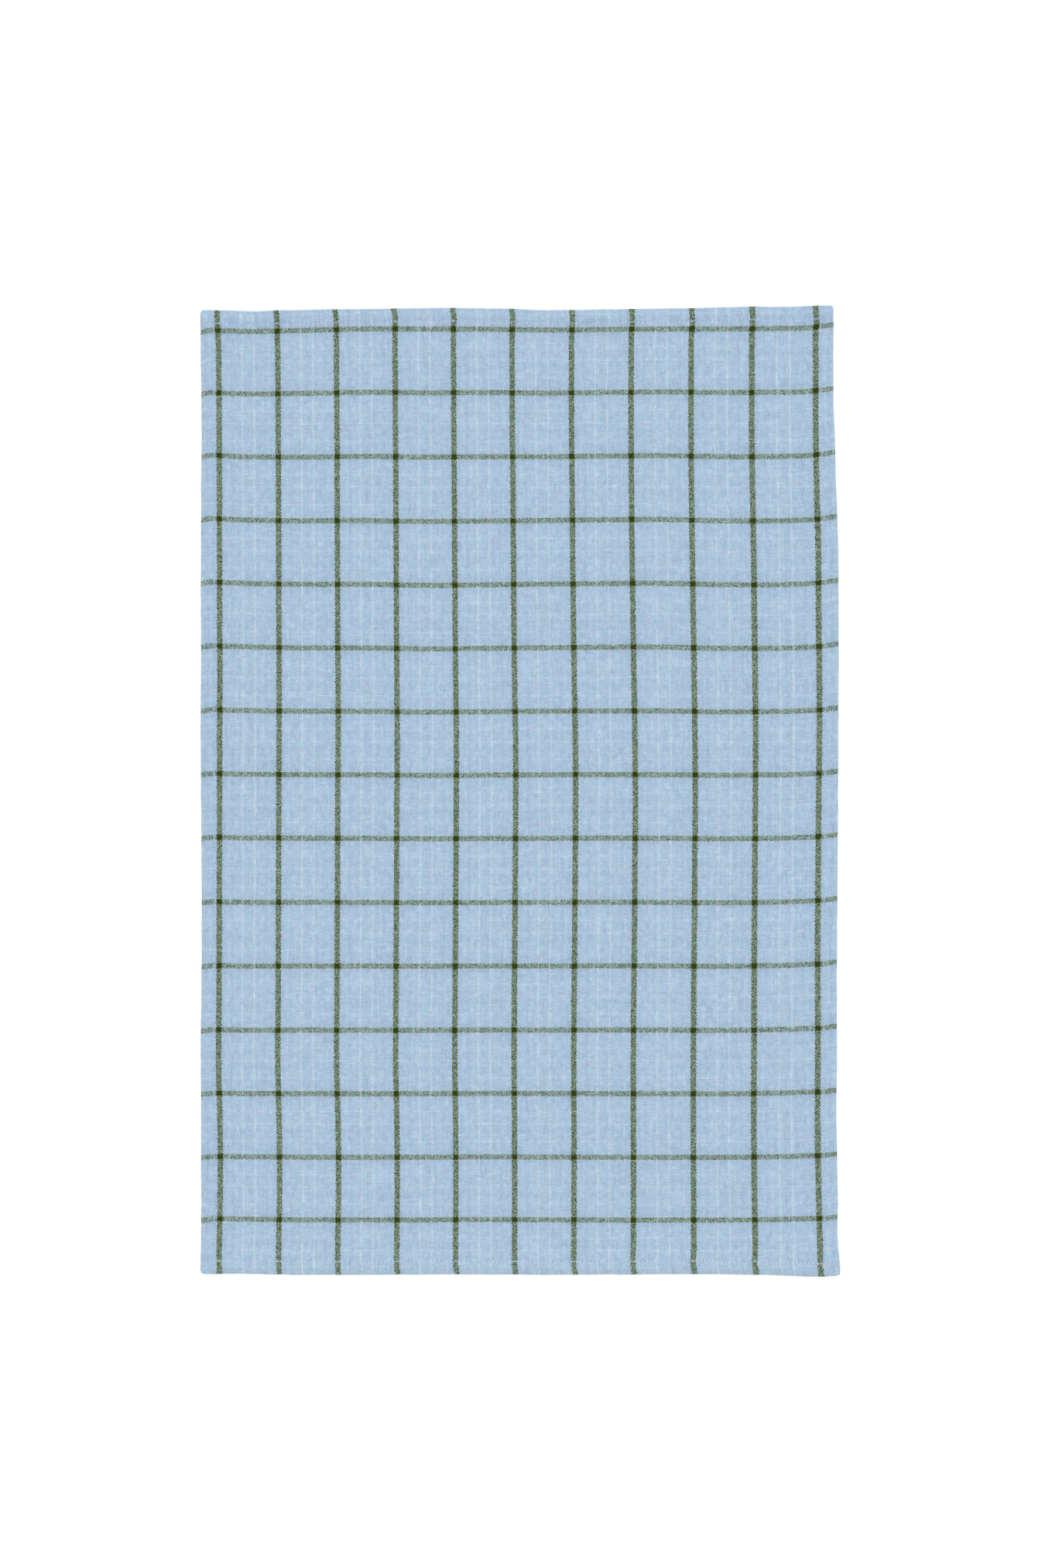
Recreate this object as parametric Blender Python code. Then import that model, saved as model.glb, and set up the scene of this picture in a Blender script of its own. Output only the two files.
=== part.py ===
"""A tea towel, lying flat: one rectangle of plain-woven cotton, turned twice to the back
and sewn down along all four edges.

Metres, +Z up. The towel is WIDTH along X and LENGTH along Y, face up, with its underside on
z = 0 and its outline centred on the origin. The solid is one closed sheet: the single cloth
of the field, the thicker bands of the hems, the step that the turned edge makes on the back,
and the soft, uneven outline of a towel that has been washed and laid out by hand.
"""

import math

import bmesh
import bpy

MM = 0.001

# ---- driving sizes ----
WIDTH = 461 * MM          # between the mean lines of the two side edges
LENGTH = 700 * MM         # between the mean lines of the two end edges
CLOTH = 1.1 * MM          # the field of the solid
HEM_WIDTH = 10.2 * MM     # edge to turned fold, on the back
STITCH_IN = 9.5 * MM      # edge to the line of stitches
HEM_RISE = 0.9 * MM       # what the two turned layers add to the cloth
CORNER_RISE = 0.5 * MM    # what the crossing hems add on top of that
STITCH_DIP = 0.35 * MM    # the groove that the thread pulls into the face
EDGE_HEIGHT = 1.1 * MM    # upright part of the rounded outer fold
EDGE_UNDERCUT = 0.45 * MM # how far that upright part stands off the surface
FIELD_STEP_X = 12         # cells across the field, between the hems
FIELD_STEP_Y = 18         # cells along the field, between the hems

# Distances from an edge at which the solid has a line of points, out from the outer fold
# to the open field: across the rounding, the band, the stitch groove and the turned fold.
EDGE_LINES = [d * MM for d in (0, 0.6, 1.6, 3.2, 6.2, 8.7, 9.5, 10.2, 10.7, 13.8, 21)]

# What the towel's height does beyond the turned fold: the cloth comes down off the two
# layers of the hem onto the surface.
#   distance from the edge (mm), underside height (mm)
COME_DOWN = [
    (10.2, 0.00),
    (10.7, 0.75),
    (13.8, 0.30),
    (21.0, 0.00),
]

# How far the side edges stand out from their mean lines.
#   y (mm), left (mm), right (mm)
SIDE_EDGES = [
    (352, 1.4, -3.6),
    (330, 1.2, -3.5),
    (285, 0.8, -3.6),
    (262, 0.5, -2.8),
    (217, 0.9, -1.6),
    (172, 1.1, -0.1),
    (105, 1.0, 0.2),
    (38, 1.3, 0.0),
    (-30, 0.8, -0.4),
    (-97, 0.5, -0.9),
    (-142, 0.8, -1.2),
    (-187, 1.2, -1.0),
    (-232, 1.0, -1.5),
    (-277, 1.0, -0.7),
    (-299, 0.9, -0.4),
    (-322, 1.0, -0.6),
    (-344, 1.3, 1.1),
    (-352, 1.4, 1.3),
]

# How far the end edges stand out from their mean lines.
#   x (mm), top (mm), bottom (mm)
END_EDGES = [
    (-232, -1.3, -0.2),
    (-218, -1.5, -0.2),
    (-205, -1.9, -0.3),
    (-190, -2.3, -0.1),
    (-176, -1.6, 0.2),
    (-148, -1.0, 0.5),
    (-92, -0.2, 0.3),
    (-50, 0.2, 0.1),
    (-8, -0.4, 0.2),
    (20, -1.4, 0.4),
    (48, -1.2, 0.3),
    (76, -0.6, 0.2),
    (104, -0.2, 0.0),
    (132, 0.3, -0.1),
    (160, 1.0, 0.3),
    (175, 1.4, 0.4),
    (189, 1.0, 0.9),
    (217, 1.7, 1.7),
    (225, 1.8, 1.2),
    (232, 1.8, 0.3),
]

# Corner roundings.
#   corner, sign of x, sign of y, radius (mm)
CORNERS = [
    ("top left", -1, 1, 3.2),
    ("top right", 1, 1, 2.8),
    ("bottom left", -1, -1, 3.2),
    ("bottom right", 1, -1, 1.8),
]

# Places where the cloth doesn't quite touch the surface: soft, low swells, each a bump that
# dies out smoothly at its own reach. Everywhere else the underside is flat on z = 0.
#   place, x (mm), y (mm), reach along x (mm), reach along y (mm), height (mm)
SWELLS = [
    ("slack in the top hem", 34, 352, 62, 34, 1.0),
    ("top left, where the hem pulls in", -192, 350, 46, 30, 0.8),
    ("top right corner", 232, 352, 52, 60, 1.5),
    ("right edge, upper part", 232, 236, 40, 74, 1.1),
    ("right edge, lower part", 231, -214, 34, 70, 0.8),
    ("bottom right corner", 234, -352, 60, 44, 1.7),
    ("bottom hem", -20, -352, 90, 28, 0.6),
    ("bottom left corner", -232, -351, 40, 34, 0.7),
    ("left edge", -232, -104, 30, 80, 0.7),
    ("left edge, upper part", -232, 238, 28, 66, 0.6),
]


def along(table, column, at):
    """A table's column at a place between its rows, on a smooth curve through them."""
    rows = sorted(table)
    at = min(max(at, rows[0][0]), rows[-1][0])
    k = 0
    while k < len(rows) - 2 and at > rows[k + 1][0]:
        k += 1

    def slope(n):
        low, high = rows[max(n - 1, 0)], rows[min(n + 1, len(rows) - 1)]
        return (high[column] - low[column]) / (high[0] - low[0])

    a, b = rows[k], rows[k + 1]
    span = b[0] - a[0]
    u = (at - a[0]) / span
    return (
        (2 * u**3 - 3 * u**2 + 1) * a[column]
        + (u**3 - 2 * u**2 + u) * span * slope(k)
        + (3 * u**2 - 2 * u**3) * b[column]
        + (u**3 - u**2) * span * slope(k + 1)
    )


def straight(table, at):
    """A two-column table read with straight lines between its rows."""
    if at <= table[0][0]:
        return table[0][1]
    for (a, fa), (b, fb) in zip(table, table[1:]):
        if at <= b:
            return fa + (fb - fa) * (at - a) / (b - a)
    return table[-1][1]


def stations(size, cells):
    """Places of the grid's lines across one direction, from -size / 2 to size / 2."""
    half = size / 2
    inner = half - EDGE_LINES[-1]
    low = [-half + d for d in EDGE_LINES]
    middle = [-inner + 2 * inner * k / cells for k in range(1, cells)]
    return low + middle + [-x for x in reversed(low)]


def round_corner(x, y):
    """A point of the plain rectangle, with the corner squares drawn in to quarter discs."""
    for _, sx, sy, radius in CORNERS:
        r = radius * MM
        a = (sx * x - (WIDTH / 2 - r)) / r
        b = (sy * y - (LENGTH / 2 - r)) / r
        if a > 0 and b > 0:
            x = sx * (WIDTH / 2 - r + r * a * math.sqrt(1 - b * b / 2))
            y = sy * (LENGTH / 2 - r + r * b * math.sqrt(1 - a * a / 2))
    return x, y


def outline(x, y):
    """A point of the plain rectangle, moved with the uneven edges."""
    s = x / WIDTH + 0.5
    t = y / LENGTH + 0.5
    left = along(SIDE_EDGES, 1, y / MM) * MM
    right = along(SIDE_EDGES, 2, y / MM) * MM
    top = along(END_EDGES, 1, x / MM) * MM
    bottom = along(END_EDGES, 2, x / MM) * MM
    return x - (1 - s) * left + s * right, y + t * top - (1 - t) * bottom


def swell(x, y):
    """How far the cloth stands off the surface at a point."""
    height = 0
    for _, cx, cy, rx, ry, top in SWELLS:
        far = ((x / MM - cx) / rx) ** 2 + ((y / MM - cy) / ry) ** 2
        if far < 1:
            height += top * MM * (1 - far) ** 2
    return height


def hem_part(d):
    """How much of the hem's extra thickness there is at a distance from an edge, 0 to 1."""
    return 1.0 if d <= HEM_WIDTH + 1e-6 else 0.0


def underside(dx, dy):
    """Height of the underside, from the distances to the side edge and the end edge."""
    if min(dx, dy) < 1e-6:
        return EDGE_UNDERCUT
    if hem_part(dx) or hem_part(dy):
        return 0.0
    return max(straight(COME_DOWN, dx / MM), straight(COME_DOWN, dy / MM)) * MM


def thickness(dx, dy):
    """Thickness of the sheet, from the distances to the side edge and the end edge."""
    if min(dx, dy) < 1e-6:
        return EDGE_HEIGHT
    side, end = hem_part(dx), hem_part(dy)
    body = CLOTH + HEM_RISE * max(side, end) + CORNER_RISE * side * end
    for d, other in ((dx, dy), (dy, dx)):
        if abs(d - STITCH_IN) < 0.05 * MM and other > d - 1e-6:
            body -= STITCH_DIP
    return body


def paint(obj, name, colour, roughness):
    material = bpy.data.materials.new(name)
    material.use_nodes = True
    shader = material.node_tree.nodes["Principled BSDF"]
    shader.inputs["Base Color"].default_value = (*colour, 1)
    shader.inputs["Roughness"].default_value = roughness
    shader.inputs["Metallic"].default_value = 0
    obj.data.materials.append(material)


def build_towel(collection):
    """The towel: a grid laid out as the cloth lies, extruded up by the sheet's thickness."""
    xs = stations(WIDTH, FIELD_STEP_X)
    ys = stations(LENGTH, FIELD_STEP_Y)
    bm = bmesh.new()
    bmesh.ops.create_grid(
        bm, x_segments=len(xs) - 1, y_segments=len(ys) - 1, size=0.5
    )
    place = {}
    for v in bm.verts:
        i = round((v.co.x + 0.5) * (len(xs) - 1))
        j = round((v.co.y + 0.5) * (len(ys) - 1))
        place[v] = (xs[i], ys[j])
    bm.normal_update()
    kept = list(bm.faces)
    made = bmesh.ops.extrude_face_region(bm, geom=kept, use_keep_orig=True)
    raised = [g for g in made["geom"] if isinstance(g, bmesh.types.BMVert)]
    spot = {(round(v.co.x, 5), round(v.co.y, 5)): p for v, p in place.items()}
    tops = set(raised)
    for v in bm.verts:
        x, y = spot[(round(v.co.x, 5), round(v.co.y, 5))]
        dx, dy = WIDTH / 2 - abs(x), LENGTH / 2 - abs(y)
        z = underside(dx, dy)
        if v in tops:
            z += thickness(dx, dy)
        px, py = outline(*round_corner(x, y))
        v.co = (px, py, z + swell(px, py))
    bmesh.ops.recalc_face_normals(bm, faces=list(bm.faces))
    # The outline is centred on the origin.
    for axis in (0, 1):
        low = min(v.co[axis] for v in bm.verts)
        high = max(v.co[axis] for v in bm.verts)
        for v in bm.verts:
            v.co[axis] -= (low + high) / 2
    mesh = bpy.data.meshes.new("tea_towel")
    bm.to_mesh(mesh)
    bm.free()
    towel = bpy.data.objects.new("tea_towel", mesh)
    collection.objects.link(towel)
    mesh.shade_smooth()
    mesh.set_sharp_from_angle(angle=math.radians(40))
    paint(towel, "light_blue_cotton", (0.42, 0.56, 0.71), 0.9)
    return towel


def main():
    for obj in list(bpy.data.objects):
        bpy.data.objects.remove(obj, do_unlink=True)
    collection = bpy.data.collections.new("tea_towel_part")
    bpy.context.scene.collection.children.link(collection)
    build_towel(collection)


main()
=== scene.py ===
"""A tea towel lying flat on a pale studio floor, seen from straight above.

The cloth is one closed mesh: the face, the soft outer fold, the turned hem bands on the back
with their inner fold, and the back of the field. Its check, its single pale threads and its
plain weave are woven in the material from the cloth's own coordinates, which count checks
across and along the towel, so that every stripe bends with the cloth and turns the edge into
the hem. The sewing thread of the four hems is real geometry on both faces.

The tables are in millimetres, +X across, +Y towards the top, with the towel's outline
centred on the origin.
"""

import math

import bpy
import numpy as np
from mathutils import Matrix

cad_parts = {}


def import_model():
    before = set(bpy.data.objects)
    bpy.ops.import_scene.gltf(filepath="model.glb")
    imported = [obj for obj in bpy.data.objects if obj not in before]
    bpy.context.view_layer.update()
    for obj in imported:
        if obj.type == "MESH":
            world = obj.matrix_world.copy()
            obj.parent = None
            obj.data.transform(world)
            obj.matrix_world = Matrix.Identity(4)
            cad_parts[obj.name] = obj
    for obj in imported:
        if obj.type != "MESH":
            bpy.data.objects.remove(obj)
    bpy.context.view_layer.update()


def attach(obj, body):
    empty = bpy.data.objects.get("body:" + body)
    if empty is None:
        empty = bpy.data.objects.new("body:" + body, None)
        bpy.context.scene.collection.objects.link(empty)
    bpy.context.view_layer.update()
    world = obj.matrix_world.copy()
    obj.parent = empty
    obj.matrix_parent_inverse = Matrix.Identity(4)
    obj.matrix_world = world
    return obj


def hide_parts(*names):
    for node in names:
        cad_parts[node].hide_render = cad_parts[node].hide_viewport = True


MM = 0.001

# ---- sizes (mm), those of the solid ----
WIDTH, LENGTH = 461.0, 700.0
HEM = 10.2           # edge to turned fold, on the back
STITCH = 9.5         # edge to the line of stitches
CLOTH = 0.5          # one layer
FOLD = 0.75          # reach of the rounding of the outer fold

# ---- the light ----
DOME = 0.84          # share of the light that comes from all round
KEY = 0.21           # share that comes from the top of the picture
KEY_ANGLE = 42       # degrees above the floor

# ---- the camera ----
PICTURE = (1350, 2025)
LENS, SENSOR = 100.0, 36.0
PICTURE_HEIGHT = 1136.6              # mm of floor from top to bottom of the picture
PICTURE_CENTRE = (1.71, 5.11)        # mm

# How far the side edges stand out from their mean lines.
#   y, left, right
SIDE_EDGES = [
    (352, 1.4, -3.6),
    (330, 1.2, -3.5),
    (285, 0.8, -3.6),
    (262, 0.5, -2.8),
    (217, 0.9, -1.6),
    (172, 1.1, -0.1),
    (105, 1.0, 0.2),
    (38, 1.3, 0.0),
    (-30, 0.8, -0.4),
    (-97, 0.5, -0.9),
    (-142, 0.8, -1.2),
    (-187, 1.2, -1.0),
    (-232, 1.0, -1.5),
    (-277, 1.0, -0.7),
    (-299, 0.9, -0.4),
    (-322, 1.0, -0.6),
    (-344, 1.3, 1.1),
    (-352, 1.4, 1.3),
]

# How far the end edges stand out from their mean lines.
#   x, top, bottom
END_EDGES = [
    (-232, -1.3, -0.2),
    (-218, -1.5, -0.2),
    (-205, -1.9, -0.3),
    (-190, -2.3, -0.1),
    (-176, -1.6, 0.2),
    (-148, -1.0, 0.5),
    (-92, -0.2, 0.3),
    (-50, 0.2, 0.1),
    (-8, -0.4, 0.2),
    (20, -1.4, 0.4),
    (48, -1.2, 0.3),
    (76, -0.6, 0.2),
    (104, -0.2, 0.0),
    (132, 0.3, -0.1),
    (160, 1.0, 0.3),
    (175, 1.4, 0.4),
    (189, 1.0, 0.9),
    (217, 1.7, 1.7),
    (225, 1.8, 1.2),
    (232, 1.8, 0.3),
]

# Corner roundings.
#   corner, sign of x, sign of y, radius
CORNERS = [
    ("top left", -1, 1, 3.2),
    ("top right", 1, 1, 2.8),
    ("bottom left", -1, -1, 3.2),
    ("bottom right", 1, -1, 1.8),
]

# Places where the cloth stands a little off the floor.
#   place, x, y, reach along x, reach along y, height
SWELLS = [
    ("slack in the top hem", 34, 352, 62, 34, 1.0),
    ("top left, where the hem pulls in", -192, 350, 46, 30, 0.8),
    ("top right corner", 232, 352, 52, 60, 1.5),
    ("right edge, upper part", 232, 236, 40, 74, 1.1),
    ("right edge, lower part", 231, -214, 34, 70, 0.8),
    ("bottom right corner", 234, -352, 60, 44, 1.7),
    ("bottom hem", -20, -352, 90, 28, 0.6),
    ("bottom left corner", -232, -351, 40, 34, 0.7),
    ("left edge", -232, -104, 30, 80, 0.7),
    ("left edge, upper part", -232, 238, 28, 66, 0.6),
]

# Distances from an edge at which the cloth has a line of points.
HEM_LINES = (
    0, 0.06, 0.22, 0.45, 0.75, 1.3, 2.4, 4.0, 5.6, 7.0, 8.0, 8.7, 9.15, 9.5, 9.85,
    10.2, 10.26, 10.45, 10.75, 11.5, 12.6, 14.0, 16.0, 18.4, 21.0,
)
FIELD_CELL = 3.3

# Height of the cloth's face above one layer on the floor: over the two turned layers of the
# hem, and down off them.
#   distance from the edge, height
RIDGE = [
    (0, 0.85), (4, 0.85), (9.0, 0.85), (10.7, 0.80), (12.2, 0.58), (14, 0.30),
    (17, 0.09), (21, 0.0), (30, 0.0),
]

# ---- the woven check ----
STRIPES_ACROSS = 11          # green stripes that run up the towel
STRIPES_ALONG = 15           # green stripes that run across it
WARP_IN_CHECK = 110          # yarns across one check, 0.39 mm each
WEFT_IN_CHECK = 120          # yarns along one check
GREEN_YARNS = 10             # yarns in a green stripe
LINES_ACROSS = 44            # streaks across one check, about 1 mm each
LINES_ALONG = 42             # streaks along one check

# Where the stripes that run up the towel lie: each one's mean place, and how far all of them
# sway from it at a height, from the left one to the right one.
#   stripe, x
UP_STRIPES = [
    (0, -217.96), (1, -175.06), (2, -132.40), (3, -89.71), (4, -47.05), (5, -4.31),
    (6, 38.87), (7, 82.04), (8, 125.58), (9, 169.55), (10, 216.02),
]
#   y, left, half left, middle, half right, right
SWAY = [
    (351.0, -2.9, -2.2, -1.5, -1.1, -1.9),
    (347.5, -2.1, -1.6, -1.6, -1.1, -1.7),
    (344.5, -1.7, -1.1, -1.2, -0.8, -1.4),
    (341.5, -1.6, -0.8, -1.1, -0.6, -1.1),
    (329.5, -1.0, -0.9, -1.6, -1.4, -1.8),
    (311.8, -0.5, -0.8, -1.5, -1.6, -1.7),
    (265.8, -0.2, -0.5, -1.4, -1.7, -1.7),
    (219.4, 0.0, -0.3, -0.9, -1.4, -1.0),
    (173.1, 0.1, -0.1, -0.6, -0.9, 0.2),
    (127.0, 0.2, 0.1, -0.2, -0.2, 0.4),
    (80.9, 0.3, 0.4, 0.3, 0.5, 1.0),
    (34.9, 0.2, 0.5, 1.0, 1.2, 1.0),
    (-11.2, 0.1, 0.2, 1.1, 1.5, 0.4),
    (-57.4, 0.0, 0.0, 0.8, 1.1, 0.1),
    (-103.7, -0.1, -0.2, 0.5, 0.8, -0.3),
    (-149.9, -0.3, -0.4, 0.1, 0.3, -0.2),
    (-196.2, -0.6, -0.6, -0.1, 0.0, -0.2),
    (-242.2, 0.4, 0.4, 0.2, 0.0, -0.4),
    (-287.9, 0.6, 0.7, 0.3, 0.1, 0.4),
    (-320.0, 0.1, 0.3, 0.3, 0.1, 1.2),
    (-332.0, -0.2, 0.2, 0.2, 0.1, 1.5),
    (-340.0, -0.1, 0.1, 0.3, -0.4, 1.4),
    (-343.5, 0.0, 0.2, 0.3, -0.3, 1.2),
    (-346.5, 0.2, 0.4, 0.8, 0.3, 1.8),
    (-350.5, -0.1, 0.9, 1.5, 1.1, 2.0),
]

# The same for the stripes that run across it, from the top one to the bottom one.
#   stripe, y
CROSS_STRIPES = [
    (0, 334.45), (1, 288.70), (2, 242.44), (3, 196.08), (4, 149.87), (5, 103.81),
    (6, 57.77), (7, 11.72), (8, -34.26), (9, -80.74), (10, -126.77), (11, -173.25),
    (12, -219.26), (13, -265.29), (14, -310.68),
]
#   x, top, half up, middle, half down, bottom
BOW = [
    (-231.0, -2.3, 0.3, -0.1, -0.7, -0.3),
    (-228.0, -1.2, 1.0, 0.6, -0.2, 0.0),
    (-225.0, -0.8, 1.4, 0.8, 0.0, 0.3),
    (-222.0, -0.7, 1.5, 1.1, 0.3, 0.6),
    (-212.0, -1.1, 1.0, 0.7, 0.0, 0.7),
    (-205.0, -1.3, 0.8, 0.6, -0.1, 0.4),
    (-196.8, -1.5, 0.4, 0.4, -0.2, 0.4),
    (-154.0, -0.6, -0.2, 0.1, 0.0, -0.1),
    (-111.3, 0.4, -0.1, 0.0, -0.1, -0.1),
    (-68.7, 0.3, -0.8, -0.4, -0.1, -0.1),
    (-25.9, 0.3, -0.4, -0.2, 0.0, 0.2),
    (17.0, -0.4, 0.0, 0.0, 0.0, 0.0),
    (60.2, -0.1, 0.5, 0.2, 0.1, -0.2),
    (103.6, 0.4, 0.7, 0.1, 0.0, -0.3),
    (147.3, 0.3, -0.3, -0.3, -0.2, -0.2),
    (192.6, 0.8, -0.3, 0.1, 0.5, 0.3),
    (204.0, 0.9, 0.2, 0.5, 1.0, 0.7),
    (209.5, 1.3, 0.5, 0.7, 1.3, 0.8),
    (220.6, 2.4, 1.4, 1.4, 1.7, 1.0),
    (226.0, 3.2, 2.4, 2.2, 2.6, 1.9),
    (231.0, 3.6, 2.9, 2.8, 2.9, 2.4),
]

# Narrow groups of pale yarns in each check, counted from the green stripe to the left of them
# (up) or above them (across); past the middle of the check they are counted back from the
# next.
#   the middle one, how pale
PALE_WARP = [(43, 0.76), (-45, 0.73), (31, 0.20), (-29, 0.12), (18, 0.14), (-18, 0.14)]
PALE_WEFT = [(33, 0.30), (57, 0.44), (-30, 0.36)]

# Broad bands of lighter and darker cloth in each check, in per cent: deeper beside the green
# stripes, and a little uneven between them.
#   place in the check, per cent lighter
BANDS_ACROSS = [
    (0.00, -3.5), (0.07, -3.5), (0.11, -1.5), (0.16, 1.5), (0.21, -3.0), (0.26, 0.0),
    (0.44, 2.0), (0.50, -1.0), (0.61, 1.5), (0.65, -1.0), (0.70, 1.0), (0.80, -2.0),
    (0.85, 0.5), (0.90, -2.5), (1.00, -3.5),
]
BANDS_ALONG = [
    (0.00, -3.5), (0.06, -4.5), (0.12, -1.0), (0.23, 1.5), (0.33, 1.0), (0.40, -0.5),
    (0.53, 1.0), (0.58, -2.0), (0.65, 0.5), (0.83, -0.5), (0.93, -4.0), (1.00, -3.5),
]

# ---- colours, linear ----
BLUE = (0.394, 0.535, 0.696)
PALE = (0.600, 0.690, 0.750)
GREEN = (0.032, 0.051, 0.001)
UP_TINT = (0.97, 0.95, 0.57)         # the blue weft between green warp, times the blue
CROSS_TINT = (0.98, 0.97, 0.70)      # the blue warp between green weft, times the blue
THREAD = (0.67, 0.77, 0.87)

# ---- the stitches (mm) ----
END_PITCH, SIDE_PITCH = 3.0, 2.7
DASH = 0.68              # share of the pitch that shows as thread
THREAD_FACE, THREAD_BACK = 0.25, 0.17    # radii


# ------------------------------------------------------------------ form

def curve(table, column, at):
    """A table's column, read at an array of places on a smooth curve through its rows."""
    rows = np.array([(r[0], r[column]) for r in sorted(table)], float)
    x, f = rows[:, 0], rows[:, 1]
    slope = np.empty_like(f)
    slope[1:-1] = (f[2:] - f[:-2]) / (x[2:] - x[:-2])
    slope[0] = (f[1] - f[0]) / (x[1] - x[0])
    slope[-1] = (f[-1] - f[-2]) / (x[-1] - x[-2])
    at = np.clip(at, x[0], x[-1])
    k = np.clip(np.searchsorted(x, at, side="right") - 1, 0, len(x) - 2)
    span = x[k + 1] - x[k]
    t = (at - x[k]) / span
    return (
        (2 * t**3 - 3 * t**2 + 1) * f[k]
        + (t**3 - 2 * t**2 + t) * span * slope[k]
        + (3 * t**2 - 2 * t**3) * f[k + 1]
        + (t**3 - t**2) * span * slope[k + 1]
    )


def soft_noise(x, y, size, seed):
    """Smooth noise from -1 to 1 with features of about that size, the same on every run."""
    lattice = np.random.RandomState(seed).uniform(-1, 1, (97, 97))
    turn = 0.4 + seed
    a = (np.cos(turn) * x - np.sin(turn) * y) / size + 400.3
    b = (np.sin(turn) * x + np.cos(turn) * y) / size + 400.7
    i, j = np.floor(a).astype(int), np.floor(b).astype(int)
    a, b = a - i, b - j
    a, b = a**3 * (a * (6 * a - 15) + 10), b**3 * (b * (6 * b - 15) + 10)
    near = lattice[i % 97, j % 97] * (1 - a) + lattice[(i + 1) % 97, j % 97] * a
    far = lattice[i % 97, (j + 1) % 97] * (1 - a) + lattice[(i + 1) % 97, (j + 1) % 97] * a
    return near * (1 - b) + far * b


def ease(x, start, end):
    t = np.clip((x - start) / (end - start), 0, 1)
    return t * t * (3 - 2 * t)


def bump(t, reach):
    """1 at t = 0, dying out smoothly at the reach on both sides."""
    return np.clip(1 - (t / reach) ** 2, 0, None) ** 2


def from_edges(px, py):
    """Distances to the nearer side edge and to the nearer end edge."""
    return WIDTH / 2 - np.abs(px), LENGTH / 2 - np.abs(py)


def lay_raw(px, py):
    """A point of the plain rectangle, in the towel's uneven outline."""
    x, y = np.array(px, float), np.array(py, float)
    for _, sx, sy, r in CORNERS:
        a = (sx * x - (WIDTH / 2 - r)) / r
        b = (sy * y - (LENGTH / 2 - r)) / r
        inside = (a > 0) & (b > 0)
        a, b = np.clip(a, 0, 1), np.clip(b, 0, 1)
        x = np.where(inside, sx * (WIDTH / 2 - r + r * a * np.sqrt(1 - b * b / 2)), x)
        y = np.where(inside, sy * (LENGTH / 2 - r + r * b * np.sqrt(1 - a * a / 2)), y)
    s, t = x / WIDTH + 0.5, y / LENGTH + 0.5
    fx = x - (1 - s) * curve(SIDE_EDGES, 1, y) + s * curve(SIDE_EDGES, 2, y)
    fy = y + t * curve(END_EDGES, 1, x) - (1 - t) * curve(END_EDGES, 2, x)
    # The fine waviness that stitching leaves in an edge.
    dx, dy = from_edges(px, py)
    fx = fx + 0.16 * soft_noise(0 * y, y, 9, 3) * np.exp(-dx / 6)
    fy = fy + 0.16 * soft_noise(x, 0 * x, 9, 4) * np.exp(-dy / 6)
    return fx, fy


def outline_middle():
    """The middle of the laid outline, which the solid has on the origin."""
    along, across = np.linspace(-1, 1, 1401), np.ones(1401)
    sides = [lay_raw(e * across * WIDTH / 2, along * LENGTH / 2) for e in (-1, 1)]
    ends = [lay_raw(along * WIDTH / 2, e * across * LENGTH / 2) for e in (-1, 1)]
    x = np.concatenate([p[0] for p in sides + ends])
    y = np.concatenate([p[1] for p in sides + ends])
    return (x.min() + x.max()) / 2, (y.min() + y.max()) / 2


MIDDLE = outline_middle()


def lay(px, py):
    x, y = lay_raw(px, py)
    return x - MIDDLE[0], y - MIDDLE[1]


def swell(x, y):
    height = 0 * x
    for _, cx, cy, rx, ry, top in SWELLS:
        far = ((x - cx) / rx) ** 2 + ((y - cy) / ry) ** 2
        height = height + top * np.clip(1 - far, 0, None) ** 2
    return height


def relief(px, py):
    """The soft unevenness of washed cloth: low, broad and never below the floor."""
    dx, dy = from_edges(px, py)
    inside = ease(np.minimum(dx, dy), 12, 48)
    form = (
        0.17 * soft_noise(px, py, 62, 11)
        + 0.09 * soft_noise(px, py * 0.8, 27, 12)
        + 0.035 * soft_noise(px, py * 0.7, 11, 13)
    )
    return inside * np.clip(form + 0.22, 0, None)


def puckers(px, py):
    """Small gathers that the stitching pulls across the hems."""
    dx, dy = from_edges(px, py)
    on_end = np.exp(-(((dy - 9) / 6) ** 2)) * ease(dy, 0.0, 3.0)
    on_side = np.exp(-(((dx - 9) / 6) ** 2)) * ease(dx, 0.0, 3.0)
    return (
        on_end * 0.09 * soft_noise(px, dy * 0.25, 7.5, 21)
        + on_end * 0.05 * soft_noise(px, dy * 0.25, 4.2, 22)
        + on_side * 0.08 * soft_noise(dx * 0.25, py, 8.0, 23)
        + on_side * 0.04 * soft_noise(dx * 0.25, py, 4.4, 24)
    )


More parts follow.
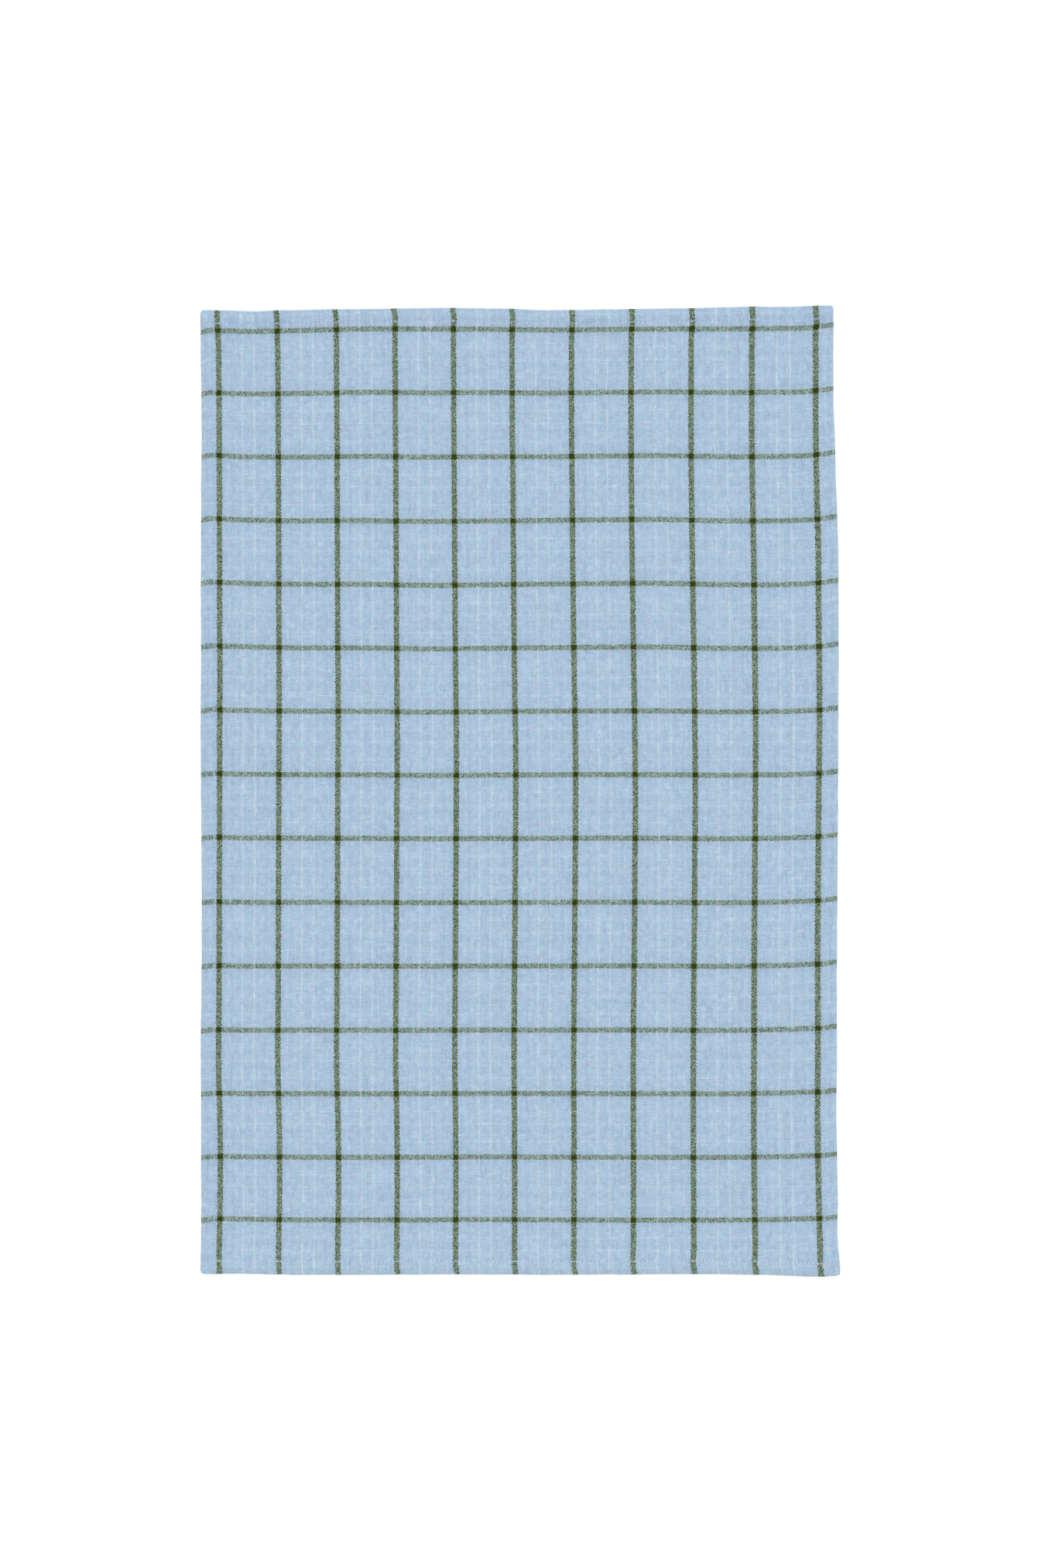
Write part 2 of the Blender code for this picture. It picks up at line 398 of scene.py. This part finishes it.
def heights(px, py):
    """Heights of the underside and of the face over a point of the plain rectangle."""
    dx, dy = from_edges(px, py)
    on_side, on_end = dx <= HEM + 1e-6, dy <= HEM + 1e-6

    def off_the_fold(d):
        return curve(RIDGE, 1, d) * np.sqrt(np.clip((d - HEM) / 0.5, 0, 1))

    under = np.where(on_end, 0, off_the_fold(dy))
    under = under + np.where(on_end | on_side, 0, off_the_fold(dx))
    face = CLOTH + curve(RIDGE, 1, dx) + curve(RIDGE, 1, dy)
    for d in (dx, dy):
        face = face + 0.16 * np.sin(np.pi * np.clip(d / STITCH, 0, 1)) ** 0.8
        face = face - 0.26 * bump(d - STITCH, 3.0)
    face = face + puckers(px, py)
    under = under + np.where(on_end | on_side, 0, relief(px, py))
    face = face + relief(px, py)
    # The groove that the thread pulls into the back of the band.
    thread = np.maximum(
        np.where(on_end, bump(dy - STITCH, 0.68), 0),
        np.where(on_side & ~on_end, bump(dx - STITCH, 0.68), 0),
    )
    under = under + 0.2 * thread
    # The outer fold.
    d = np.minimum(dx, dy)
    round_off = np.sqrt(np.clip(1 - (1 - np.clip(d / FOLD, 0, 1)) ** 2, 0, 1))
    thick = face - under
    return under + thick * (0.5 - 0.5 * round_off), under + thick * (0.5 + 0.5 * round_off)


# ------------------------------------------------------------------ the check

def across_all(table, at, stripes):
    """A five-column table read at an array of places, for each of so many even stripes."""
    k = np.linspace(-1, 1, stripes)
    share = [
        curve([(place, float(n == c)) for n, place in enumerate((-1, -0.5, 0, 0.5, 1))], 1, k)
        for c in range(5)
    ]
    return sum(curve(table, c + 1, at)[:, None] * share[c] for c in range(5))


def count(places, at, pitch):
    """Where a value lies among rising places, as a place's number and the share to the next."""
    k = np.clip((at[:, None] >= places).sum(1) - 1, 0, places.shape[1] - 2)
    rows = np.arange(len(at))
    low, high = places[rows, k], places[rows, k + 1]
    inside = k + (at - low) / (high - low)
    before = (at - places[:, 0]) / pitch
    after = places.shape[1] - 1 + (at - places[:, -1]) / pitch
    return np.where(at < places[:, 0], before, np.where(at > places[:, -1], after, inside))


def checks(x, y):
    """Cloth coordinates of laid points: the number of the check across and along."""
    x, y = np.ravel(x), np.ravel(y)
    places = np.array([s[1] for s in UP_STRIPES]) + across_all(SWAY, y, STRIPES_ACROSS)
    u = count(places, x, 43.2)
    places = np.array([s[1] for s in CROSS_STRIPES]) + across_all(BOW, x, STRIPES_ALONG)
    v = count(-places, -y, 46.1)
    return u, v


# ------------------------------------------------------------------ meshes

def stations(size):
    half = size / 2
    inner = half - HEM_LINES[-1]
    cells = round(2 * inner / FIELD_CELL)
    low = [-half + d for d in HEM_LINES]
    middle = [-inner + 2 * inner * k / cells for k in range(1, cells)]
    return np.array(low + middle + [-x for x in reversed(low)])


def new_object(name, points, faces, smooth=True):
    mesh = bpy.data.meshes.new(name)
    mesh.from_pydata((np.asarray(points) * MM).tolist(), [], np.asarray(faces).tolist())
    if smooth:
        mesh.shade_smooth()
    obj = bpy.data.objects.new(name, mesh)
    bpy.context.scene.collection.objects.link(obj)
    return obj


def make_cloth():
    xs, ys = stations(WIDTH), stations(LENGTH)
    nx, ny = len(xs), len(ys)
    px, py = np.meshgrid(xs, ys, indexing="ij")
    x, y = lay(px, py)
    low, high = heights(px, py)
    lift = swell(x, y)
    low, high = low + lift, high + lift

    # The face has every point of the grid. The back has its own, but for the outer fold,
    # which is one line of points for both.
    face_at = np.arange(nx * ny).reshape(nx, ny)
    rim = np.zeros((nx, ny), bool)
    rim[0, :] = rim[-1, :] = rim[:, 0] = rim[:, -1] = True
    back_at = face_at.copy()
    back_at[~rim] = nx * ny + np.arange((~rim).sum())
    face_points = np.stack([x, y, high], -1).reshape(-1, 3)
    back_points = np.stack([x, y, low], -1)[~rim]
    points = np.concatenate([face_points, back_points])

    def quads(at):
        return np.stack([at[:-1, :-1], at[1:, :-1], at[1:, 1:], at[:-1, 1:]], -1).reshape(-1, 4)

    face_quads, back_quads = quads(face_at), quads(back_at)[:, ::-1]
    cloth = new_object("towel_cloth", points, np.concatenate([face_quads, back_quads]))
    mesh = cloth.data

    # Coordinates of every corner of every quad: where it is in the plain rectangle, and
    # which check of the cloth it shows. The turned bands show the cloth beyond the edge.
    def corners(grid):
        return np.stack([grid[:-1, :-1], grid[1:, :-1], grid[1:, 1:], grid[:-1, 1:]], -1)

    cx, cy, cpx, cpy = (corners(g) for g in (x, y, px, py))
    reach_x = WIDTH / 2 - np.abs(cpx)
    reach_y = LENGTH / 2 - np.abs(cpy)
    limit = 10.75 + 1e-4
    end_band = (reach_y <= limit).all(-1)
    side_band = (reach_x <= limit).all(-1) & ~end_band
    x_edge = np.where(px > 0, x[-1:, :], x[:1, :])
    y_edge = np.where(py > 0, y[:, -1:], y[:, :1])
    cxe, cye = corners(x_edge), corners(y_edge)
    bx = np.where(side_band[..., None], 2 * cxe - cx, cx)
    by = np.where(end_band[..., None], 2 * cye - cy, cy)
    face_uv = np.stack(checks(cx, cy), -1).reshape(-1, 4, 2)
    back_uv = np.stack(checks(bx, by), -1).reshape(-1, 4, 2)[:, ::-1]
    plain = np.stack([cpx, cpy], -1).reshape(-1, 4, 2)

    def uv_map(name, front, back):
        layer = mesh.uv_layers.new(name=name, do_init=False)
        flat = np.concatenate([front.reshape(-1, 2), back.reshape(-1, 2)])
        layer.uv.foreach_set("vector", flat.astype(np.float32).ravel())
        return layer

    uv_map("Weave", face_uv, back_uv)
    uv_map("Plain", plain, plain[:, ::-1])

    # The map for baking: the face above, the back below, both with their length across.
    def baked(p, bottom, top):
        across = 0.004 + 0.992 * (p[..., 1] / LENGTH + 0.5)
        up = bottom + (top - bottom) * (p[..., 0] / WIDTH + 0.5)
        return np.stack([across, up], -1)

    layer = uv_map("OFBake", baked(plain, 0.404, 0.996), baked(plain[:, ::-1], 0.004, 0.396))
    mesh.uv_layers.active = layer

    back_field = ~(end_band | side_band).reshape(-1)
    turned = np.concatenate([np.ones(len(face_quads)), np.where(back_field, -1.0, 1.0)])
    attribute = mesh.attributes.new("side", "FLOAT", "FACE")
    attribute.data.foreach_set("value", turned.astype(np.float32))
    return cloth


def make_stitches(name, back):
    """The thread of all four hems on one face: short arcs that dip into the cloth."""
    rng = np.random.RandomState(31 if back else 30)
    rows = []          # centre and direction of each stitch, in the plain rectangle
    for sign in (-1, 1):
        for pitch, span, at, upright in (
            (END_PITCH, WIDTH, sign * (LENGTH / 2 - STITCH), False),
            (SIDE_PITCH, LENGTH, sign * (WIDTH / 2 - STITCH), True),
        ):
            slack = 1.0 if upright else 0.0 if sign < 0 else 0.8
            n = int((span / 2 - 1.0) / pitch)
            for k in range(-n, n):
                s = (k + 0.5) * pitch
                if back and upright and abs(s) > LENGTH / 2 - HEM - 1.2:
                    continue      # under the end band, which is turned over it
                rows.append((s, at, pitch, upright, slack))
    s, at, pitch, upright, slack = (np.array(c) for c in zip(*rows))
    n = len(s)
    half = pitch / 2 * DASH * rng.uniform(0.88, 1.1, n)
    slant = rng.normal(0, 0.045, n)
    aside = rng.normal(0, 0.07, n)
    radius = (THREAD_BACK if back else THREAD_FACE) * rng.uniform(0.8, 1.1 if back else 1.25, n)
    # Some stitches sink in between the yarns, more of them in the side rows.
    sunk = 0 if back else slack + rng.uniform(0, 1.1, n)

    # t along the stitch, how far its middle line stands over the cloth, in radii
    form = [(-1.0, -1.5), (-0.86, -0.45), (-0.6, 0.3), (-0.22, 0.62), (0.22, 0.62),
            (0.6, 0.3), (0.86, -0.45), (1.0, -1.5)]
    if back:
        form = [(t, min(h, 0.0) - 0.05) for t, h in form]
    sides = 7
    rings = []
    for t, rise in form:
        along = s + t * half
        across = at + aside + t * half * slant
        px = np.where(upright, across, along)
        py = np.where(upright, along, across)
        x, y = lay(px, py)
        low, high = heights(px, py)
        lift = swell(x, y)
        if back:
            z = low + lift - rise * radius
        else:
            z = np.maximum(high + (rise - sunk) * radius, low + 0.45) + lift
        rings.append(np.stack([x, y, z], -1))
    path = np.stack(rings, 1)                                    # stitch, ring, xyz
    tangent = np.gradient(path, axis=1)
    tangent /= np.linalg.norm(tangent, axis=-1, keepdims=True)
    level = np.cross(tangent, (0, 0, 1.0))
    level /= np.linalg.norm(level, axis=-1, keepdims=True)
    up = np.cross(level, tangent)
    swing = np.arange(sides) * 2 * math.pi / sides
    thin = np.array([0.75, 0.95, 1, 1, 1, 1, 0.95, 0.75])[None, :, None, None]
    ring = (
        level[:, :, None] * np.cos(swing)[:, None] + up[:, :, None] * np.sin(swing)[:, None]
    )
    points = path[:, :, None] + ring * thin * radius[:, None, None, None]
    m = len(form)
    index = np.arange(n * m * sides).reshape(n, m, sides)
    nxt = np.roll(index, -1, axis=2)
    walls = np.stack([index[:, :-1], nxt[:, :-1], nxt[:, 1:], index[:, 1:]], -1).reshape(-1, 4)
    caps = [index[:, 0, ::-1].tolist(), index[:, -1].tolist()]
    faces = walls.tolist() + caps[0] + caps[1]
    mesh = bpy.data.meshes.new(name)
    mesh.from_pydata((points.reshape(-1, 3) * MM).tolist(), [], faces)
    mesh.shade_smooth()
    obj = bpy.data.objects.new(name, mesh)
    bpy.context.scene.collection.objects.link(obj)
    return obj


# ------------------------------------------------------------------ materials

class Tree:
    """A material's nodes, written as sums."""

    def __init__(self, name):
        self.material = bpy.data.materials.new(name)
        self.material.use_nodes = True
        self.nodes = self.material.node_tree.nodes
        self.links = self.material.node_tree.links
        self.shader = self.nodes["Principled BSDF"]

    def put(self, socket, value):
        if isinstance(value, bpy.types.NodeSocket):
            self.links.new(value, socket)
        else:
            socket.default_value = value

    def math(self, operation, *values):
        node = self.nodes.new("ShaderNodeMath")
        node.operation = operation
        for socket, value in zip(node.inputs, values):
            self.put(socket, value)
        return node.outputs[0]

    def add(self, a, b):
        return self.math("ADD", a, b)

    def times(self, a, b):
        return self.math("MULTIPLY", a, b)

    def total(self, *values):
        out = values[0]
        for value in values[1:]:
            out = self.add(out, value)
        return out

    def within(self, value, low, high):
        """A value carried smoothly from low to high, as 0 to 1."""
        node = self.nodes.new("ShaderNodeMapRange")
        node.interpolation_type = "SMOOTHSTEP"
        self.put(node.inputs["Value"], value)
        self.put(node.inputs["From Min"], low)
        self.put(node.inputs["From Max"], high)
        return node.outputs["Result"]

    def mix(self, share, a, b, blend="MIX"):
        node = self.nodes.new("ShaderNodeMix")
        node.data_type = "RGBA"
        node.blend_type = blend
        self.put(node.inputs[0], share)
        self.put(node.inputs[6], a if isinstance(a, bpy.types.NodeSocket) else (*a, 1))
        self.put(node.inputs[7], b if isinstance(b, bpy.types.NodeSocket) else (*b, 1))
        return node.outputs[2]

    def vector(self, x, y, z=0.0):
        node = self.nodes.new("ShaderNodeCombineXYZ")
        for socket, value in zip(node.inputs, (x, y, z)):
            self.put(socket, value)
        return node.outputs[0]

    def uv(self, name):
        node = self.nodes.new("ShaderNodeUVMap")
        node.uv_map = name
        split = self.nodes.new("ShaderNodeSeparateXYZ")
        self.links.new(node.outputs[0], split.inputs[0])
        return split.outputs[0], split.outputs[1]

    def noise(self, x, y, detail=0.0):
        """Noise around 0, on cells of 1."""
        node = self.nodes.new("ShaderNodeTexNoise")
        node.noise_dimensions = "2D"
        self.put(node.inputs["Vector"], self.vector(x, y))
        node.inputs["Scale"].default_value = 1.0
        node.inputs["Detail"].default_value = detail
        return self.math("SUBTRACT", node.outputs[0], 0.5)

    def chance(self, x, y):
        """A random number around 0 for each whole number."""
        node = self.nodes.new("ShaderNodeTexWhiteNoise")
        node.noise_dimensions = "2D"
        self.put(node.inputs["Vector"], self.vector(x, y))
        return self.math("SUBTRACT", node.outputs[0], 0.5)

    def table(self, rows, at):
        """A table in per cent, read with straight lines, as a share of the colour."""
        node = self.nodes.new("ShaderNodeValToRGB")
        ramp = node.color_ramp
        ramp.interpolation = "LINEAR"
        for k, (place, lighter) in enumerate(rows):
            if k in (0, 1):
                stop = ramp.elements[k] if k == 0 else ramp.elements[-1]
                stop.position = place
            else:
                stop = ramp.elements.new(place)
            grey = 0.5 + lighter / 40
            stop.color = (grey, grey, grey, 1)
        self.put(node.inputs[0], at)
        return self.times(self.math("SUBTRACT", node.outputs[0], 0.5), 0.40)


def in_check(t, yarn, number):
    """A yarn's number in its check, from minus half the check to half of it."""
    whole = t.math("FLOOR", t.math("DIVIDE", t.add(yarn, number / 2), float(number)))
    return t.math("SUBTRACT", yarn, t.times(whole, float(number)))


def is_green(t, number, ragged):
    """1 on the yarns of a green stripe, whose edges the uneven weave makes a little ragged."""
    wide = t.add(GREEN_YARNS / 2, ragged)
    return t.math("LESS_THAN", t.math("ABSOLUTE", t.add(number, 0.5)), wide)


def paleness(t, number, rows):
    """How pale a yarn is: the middle one of each group most, then the two on each side."""
    off = [t.math("ABSOLUTE", t.add(number, -float(n))) for n, _ in rows]
    return t.total(*[t.times(t.within(d, 2.7, 0.5), share) for d, (_, share) in zip(off, rows)])


def cotton():
    """Plain-woven yarn-dyed cotton: blue ground, green stripes both ways, single pale yarns."""
    t = Tree("woven_cotton")
    u, v = t.uv("Weave")
    px, py = t.uv("Plain")
    side = t.nodes.new("ShaderNodeAttribute")
    side.attribute_type = "GEOMETRY"
    side.attribute_name = "side"
    side = side.outputs["Fac"]

    # Yarns wander a little from their straight lines.
    wander_u = t.noise(t.times(u, 22.0), t.times(v, 60.0), 1.0)
    wander_v = t.noise(t.times(u, 60.0), t.add(t.times(v, 22.0), 40.0), 1.0)
    yarn_u = t.add(t.times(u, float(WARP_IN_CHECK)), t.times(wander_u, 2.2))
    yarn_v = t.add(t.times(v, float(WEFT_IN_CHECK)), t.times(wander_v, 2.2))
    line_u = t.add(t.times(u, float(LINES_ACROSS)), t.times(wander_u, 0.6))
    line_v = t.add(t.times(v, float(LINES_ALONG)), t.times(wander_v, 0.6))
    warp, weft = t.math("FLOOR", line_u), t.math("FLOOR", line_v)

    # Flecks: the slanting pattern that uneven yarns make in a plain weave, about 2 mm from
    # one to the next, leaning now one way and now the other.
    lean_way = t.within(t.noise(t.times(u, 4.3), t.add(t.times(v, 4.6), 9.0)), -0.12, 0.12)
    phase = t.times(t.noise(t.times(u, 9.0), t.times(v, 10.0)), 1.2)
    across = t.add(t.times(u, math.pi * LINES_ACROSS), phase)
    along = t.times(v, math.pi * LINES_ALONG)
    rising = t.math("SINE", t.add(across, along))
    falling = t.math("SINE", t.math("SUBTRACT", across, along))
    fleck = t.add(falling, t.times(lean_way, t.math("SUBTRACT", rising, falling)))
    patch = t.noise(t.times(px, 0.36), t.times(py, 0.36), 1.0)
    grain = t.noise(t.times(px, 0.88), t.times(py, 0.88))

    whole_u, whole_v = t.math("FLOOR", yarn_u), t.math("FLOOR", yarn_v)
    warp_in = in_check(t, whole_u, WARP_IN_CHECK)
    weft_in = in_check(t, whole_v, WEFT_IN_CHECK)
    ragged = t.add(t.times(fleck, 0.55), t.times(grain, 1.6))
    green_warp, green_weft = is_green(t, warp_in, ragged), is_green(t, weft_in, ragged)
    stripe = t.math("MAXIMUM", green_warp, green_weft)

    # Over and under.
    wave = t.times(
        t.math("SINE", t.times(yarn_u, math.pi)), t.math("SINE", t.times(yarn_v, math.pi))
    )
    over = t.times(wave, side)
    # Green warp shows more than the blue weft that crosses it. The flecks let more and less
    # of it through, and so does each crossing of two yarns by itself.
    crossing = t.chance(whole_u, whole_v)
    uneven = t.times(stripe, t.total(
        t.times(fleck, 0.36), t.times(grain, 1.2), t.times(patch, 0.9), t.times(crossing, 0.75)
    ))
    lean = t.total(t.times(green_warp, 0.23), t.times(green_weft, 0.04), uneven)
    on_top = t.within(t.add(over, lean), -0.30, 0.30)

    # Each streak's own shade, which drifts along it, and the odd thick place.
    warp_drift = t.total(
        t.times(t.chance(warp, 3.0), 0.045),
        t.times(t.noise(t.times(warp, 0.83), t.times(v, 2.6), 1.0), 0.28),
        t.times(t.noise(t.times(warp, 1.37), t.times(v, 10.0)), 0.34),
    )
    weft_drift = t.total(
        t.times(t.chance(5.0, weft), 0.035),
        t.times(t.noise(t.times(u, 2.4), t.times(weft, 0.83), 1.0), 0.23),
        t.times(t.noise(t.times(u, 9.0), t.times(weft, 1.37)), 0.34),
    )
    warp_slub = t.within(t.noise(t.times(warp, 4.7), t.times(v, 5.5)), 0.19, 0.30)
    weft_slub = t.within(t.noise(t.times(u, 5.0), t.times(weft, 4.3)), 0.20, 0.31)
    drift = t.add(
        weft_drift, t.times(on_top, t.math("SUBTRACT", warp_drift, weft_drift))
    )

    # Colours of the two sets of yarns.
    pale_warp = t.add(
        t.times(
            paleness(t, warp_in, PALE_WARP),
            t.add(1.0, t.times(t.noise(t.times(warp, 1.3), t.times(v, 7.0)), 1.3)),
        ),
        t.times(warp_slub, 0.40),
    )
    pale_weft = t.add(
        t.times(
            paleness(t, weft_in, PALE_WEFT),
            t.add(1.0, t.times(t.noise(t.times(u, 7.0), t.times(weft, 1.3)), 1.3)),
        ),
        t.times(weft_slub, 0.36),
    )
    weft_blue = t.mix(green_warp, BLUE, tuple(a * b for a, b in zip(BLUE, UP_TINT)))
    warp_blue = t.mix(green_weft, BLUE, tuple(a * b for a, b in zip(BLUE, CROSS_TINT)))
    warp_colour = t.mix(green_warp, t.mix(pale_warp, warp_blue, PALE), GREEN)
    weft_colour = t.mix(green_weft, t.mix(pale_weft, weft_blue, PALE), GREEN)
    colour = t.mix(on_top, weft_colour, warp_colour)

    # Shade: streak by streak, the broad bands of the check, and the fine mottling, which
    #     # goes yarn by yarn; and painted shade on each yarn, lighter on its crown and darker where
    #     it dips under the next.
    # Painted shade: each yarn's crown is lighter and the dips between yarns darker in the colour; the
    # same crown also raises the bump.
    crown_relief_and_painted_shade = t.math("ABSOLUTE", wave)
    mottle = t.total(
        t.times(t.noise(t.times(whole_u, 0.41), t.times(whole_v, 0.365), 1.0), 0.29),
        t.times(t.noise(t.times(px, 0.24), t.times(py, 0.20)), 0.09),
        t.times(t.noise(t.times(px, 0.10), t.times(py, 0.07)), 0.05),
        t.times(fleck, 0.010),
    )
    bands = t.add(
        t.table(BANDS_ACROSS, t.math("FRACT", u)), t.table(BANDS_ALONG, t.math("FRACT", v))
    )
    # Paler cloth is also less blue, deeper cloth more so.
    depth = t.total(drift, mottle, bands, t.times(t.add(crown_relief_and_painted_shade, -0.4), 0.24))
    shade = [t.add(1.0, t.times(depth, share)) for share in (1.05, 1.0, 0.82)]
    colour = t.mix(1.0, colour, t.vector(*shade), "MULTIPLY")

    # A drift of the dye between a blue that leans to green and one that leans to violet.
    hue = t.add(
        t.times(t.noise(t.times(px, 0.21), t.times(py, 0.16), 1.0), 0.19),
        t.times(t.noise(t.times(px, 0.52), t.add(t.times(py, 0.44), 7.0)), 0.08),
    )
    colour = t.mix(
        1.0, colour, t.vector(t.add(1.0, hue), t.add(1.0, t.times(hue, -0.10)), 1.0), "MULTIPLY"
    )

    # Hems: needle holes, darkened with painted shade where the thread dips into the cloth, the pale
    #     # thread over the green, and at the bottom the turned green stripe that shows faintly
    #     through.
    on_face = t.math("GREATER_THAN", side, 0.0)
    end_off = t.math("ABSOLUTE", t.add(t.math("ABSOLUTE", py), STITCH - LENGTH / 2))
    side_off = t.math("ABSOLUTE", t.add(t.math("ABSOLUTE", px), STITCH - WIDTH / 2))
    sewn = t.math("MAXIMUM", t.within(end_off, 0.75, 0.35), t.within(side_off, 1.0, 0.5))
    sewn = t.times(t.times(sewn, stripe), on_face)
    colour = t.mix(t.times(sewn, 0.45), colour, tuple(0.98 * c for c in BLUE))

    # Painted shade at the needle holes: a dark dot at each end of a stitch, where the thread dips
    # into the cloth; the same mask also dents the bump.
    def hole_dents_and_painted_shade(along, off, pitch, depth):
        place = t.add(t.math("DIVIDE", along, pitch), 0.5)
        near = t.times(t.math("ABSOLUTE", t.add(t.math("FRACT", place), -0.5)), pitch)
        far = t.math("SQRT", t.add(t.times(near, near), t.times(off, off)))
        open_wide = t.add(1.0, t.times(t.chance(t.math("FLOOR", place), 7.0), 1.6))
        return t.times(t.within(far, 0.70, 0.25), t.times(open_wide, depth))

    hole_dent_and_painted_shade = t.math(
        "MAXIMUM", hole_dents_and_painted_shade(px, end_off, END_PITCH, 0.34), hole_dents_and_painted_shade(py, side_off, SIDE_PITCH, 0.18)
    )
    # Painted shade: the needle holes darkened towards a deep blue-grey.
    colour = t.mix(t.times(hole_dent_and_painted_shade, 0.95), colour, (0.17, 0.24, 0.33))
    from_bottom = t.add(py, LENGTH / 2)
    through = t.times(t.within(from_bottom, 6.5, 3.0), t.within(from_bottom, 0.2, 1.0))
    through = t.times(through, on_face)
    colour = t.mix(t.times(through, t.math("SUBTRACT", 1.0, stripe)), colour,
                   t.mix(1.0, colour, (0.97, 0.965, 0.94), "MULTIPLY"))
    t.put(t.shader.inputs["Base Color"], colour)

    t.put(
        t.shader.inputs["Roughness"],
        t.add(0.88, t.times(t.noise(t.times(px, 0.5), t.times(py, 0.5)), 0.12)),
    )
    t.shader.inputs["Specular IOR Level"].default_value = 0.12
    t.shader.inputs["Sheen Weight"].default_value = 0.04
    t.shader.inputs["Sheen Roughness"].default_value = 0.5
    t.shader.inputs["Sheen Tint"].default_value = (0.85, 0.92, 1.0, 1.0)

    relief_node = t.nodes.new("ShaderNodeBump")
    relief_node.inputs["Strength"].default_value = 0.5
    relief_node.inputs["Distance"].default_value = 0.00012
    t.put(relief_node.inputs["Height"], t.total(crown_relief_and_painted_shade, t.times(fleck, 0.5), t.times(hole_dent_and_painted_shade, -2.0)))
    t.links.new(relief_node.outputs[0], t.shader.inputs["Normal"])
    return t.material


def thread():
    """Cotton sewing thread, with the twist of its plies."""
    t = Tree("sewing_thread")
    place = t.nodes.new("ShaderNodeTexCoord")
    twist = t.nodes.new("ShaderNodeTexNoise")
    twist.inputs["Scale"].default_value = 2600.0
    twist.inputs["Detail"].default_value = 1.0
    t.links.new(place.outputs["Object"], twist.inputs["Vector"])
    darker = tuple(0.86 * c for c in THREAD)
    t.put(t.shader.inputs["Base Color"], t.mix(t.within(twist.outputs[0], 0.35, 0.6), darker, THREAD))
    t.shader.inputs["Roughness"].default_value = 0.7
    t.shader.inputs["Sheen Weight"].default_value = 0.1
    relief_node = t.nodes.new("ShaderNodeBump")
    relief_node.inputs["Strength"].default_value = 0.4
    relief_node.inputs["Distance"].default_value = 0.00005
    t.put(relief_node.inputs["Height"], twist.outputs[0])
    t.links.new(relief_node.outputs[0], t.shader.inputs["Normal"])
    return t.material


def studio_floor():
    t = Tree("white_floor")
    t.shader.inputs["Base Color"].default_value = (0.34, 0.34, 0.34, 1)
    t.shader.inputs["Roughness"].default_value = 1.0
    t.shader.inputs["Specular IOR Level"].default_value = 0.0
    t.shader.inputs["Emission Color"].default_value = (1, 1, 1, 1)
    t.shader.inputs["Emission Strength"].default_value = 0.72
    return t.material


# ------------------------------------------------------------------ the scene

def make_stage():
    mesh = bpy.data.meshes.new("floor")
    r = 9.0
    mesh.from_pydata([(-r, -r, -0.0001), (r, -r, -0.0001), (r, r, -0.0001), (-r, r, -0.0001)],
                     [], [(0, 1, 2, 3)])
    floor = bpy.data.objects.new("floor", mesh)
    floor.data.materials.append(studio_floor())
    bpy.context.scene.collection.objects.link(floor)

    world = bpy.data.worlds.new("studio")
    bpy.context.scene.world = world
    world.use_nodes = True
    sky = world.node_tree.nodes["Background"]
    sky.inputs["Color"].default_value = (1, 1, 1, 1)
    sky.inputs["Strength"].default_value = DOME

    light = bpy.data.lights.new("key", "SUN")
    light.energy = KEY * math.pi / math.sin(math.radians(KEY_ANGLE))
    light.angle = math.radians(14)
    key = bpy.data.objects.new("key", light)
    key.rotation_euler = (-math.radians(90 - KEY_ANGLE), 0, 0)
    bpy.context.scene.collection.objects.link(key)
    return floor


def make_camera():
    data = bpy.data.cameras.new("camera")
    data.lens = LENS
    data.sensor_width = SENSOR
    data.sensor_fit = "AUTO"
    data.clip_start, data.clip_end = 0.05, 60
    camera = bpy.data.objects.new("camera", data)
    height = PICTURE_HEIGHT * MM * LENS / SENSOR
    camera.location = (PICTURE_CENTRE[0] * MM, PICTURE_CENTRE[1] * MM, height)
    camera.rotation_euler = (0, 0, 0)
    bpy.context.scene.collection.objects.link(camera)
    bpy.context.scene.camera = camera


def main():
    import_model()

    view = bpy.context.scene.view_settings
    view.view_transform = "Standard"
    view.look = "None"
    view.exposure = 0
    view.gamma = 1

    make_camera()
    make_stage()

    cloth = make_cloth()
    cloth.data.materials.append(cotton())
    sewing = thread()
    face_stitches = make_stitches("stitches_face", back=False)
    back_stitches = make_stitches("stitches_back", back=True)
    for stitches in (face_stitches, back_stitches):
        stitches.data.materials.append(sewing)
    for piece in (cloth, face_stitches, back_stitches):
        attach(piece, "root")
    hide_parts("tea_towel")


main()
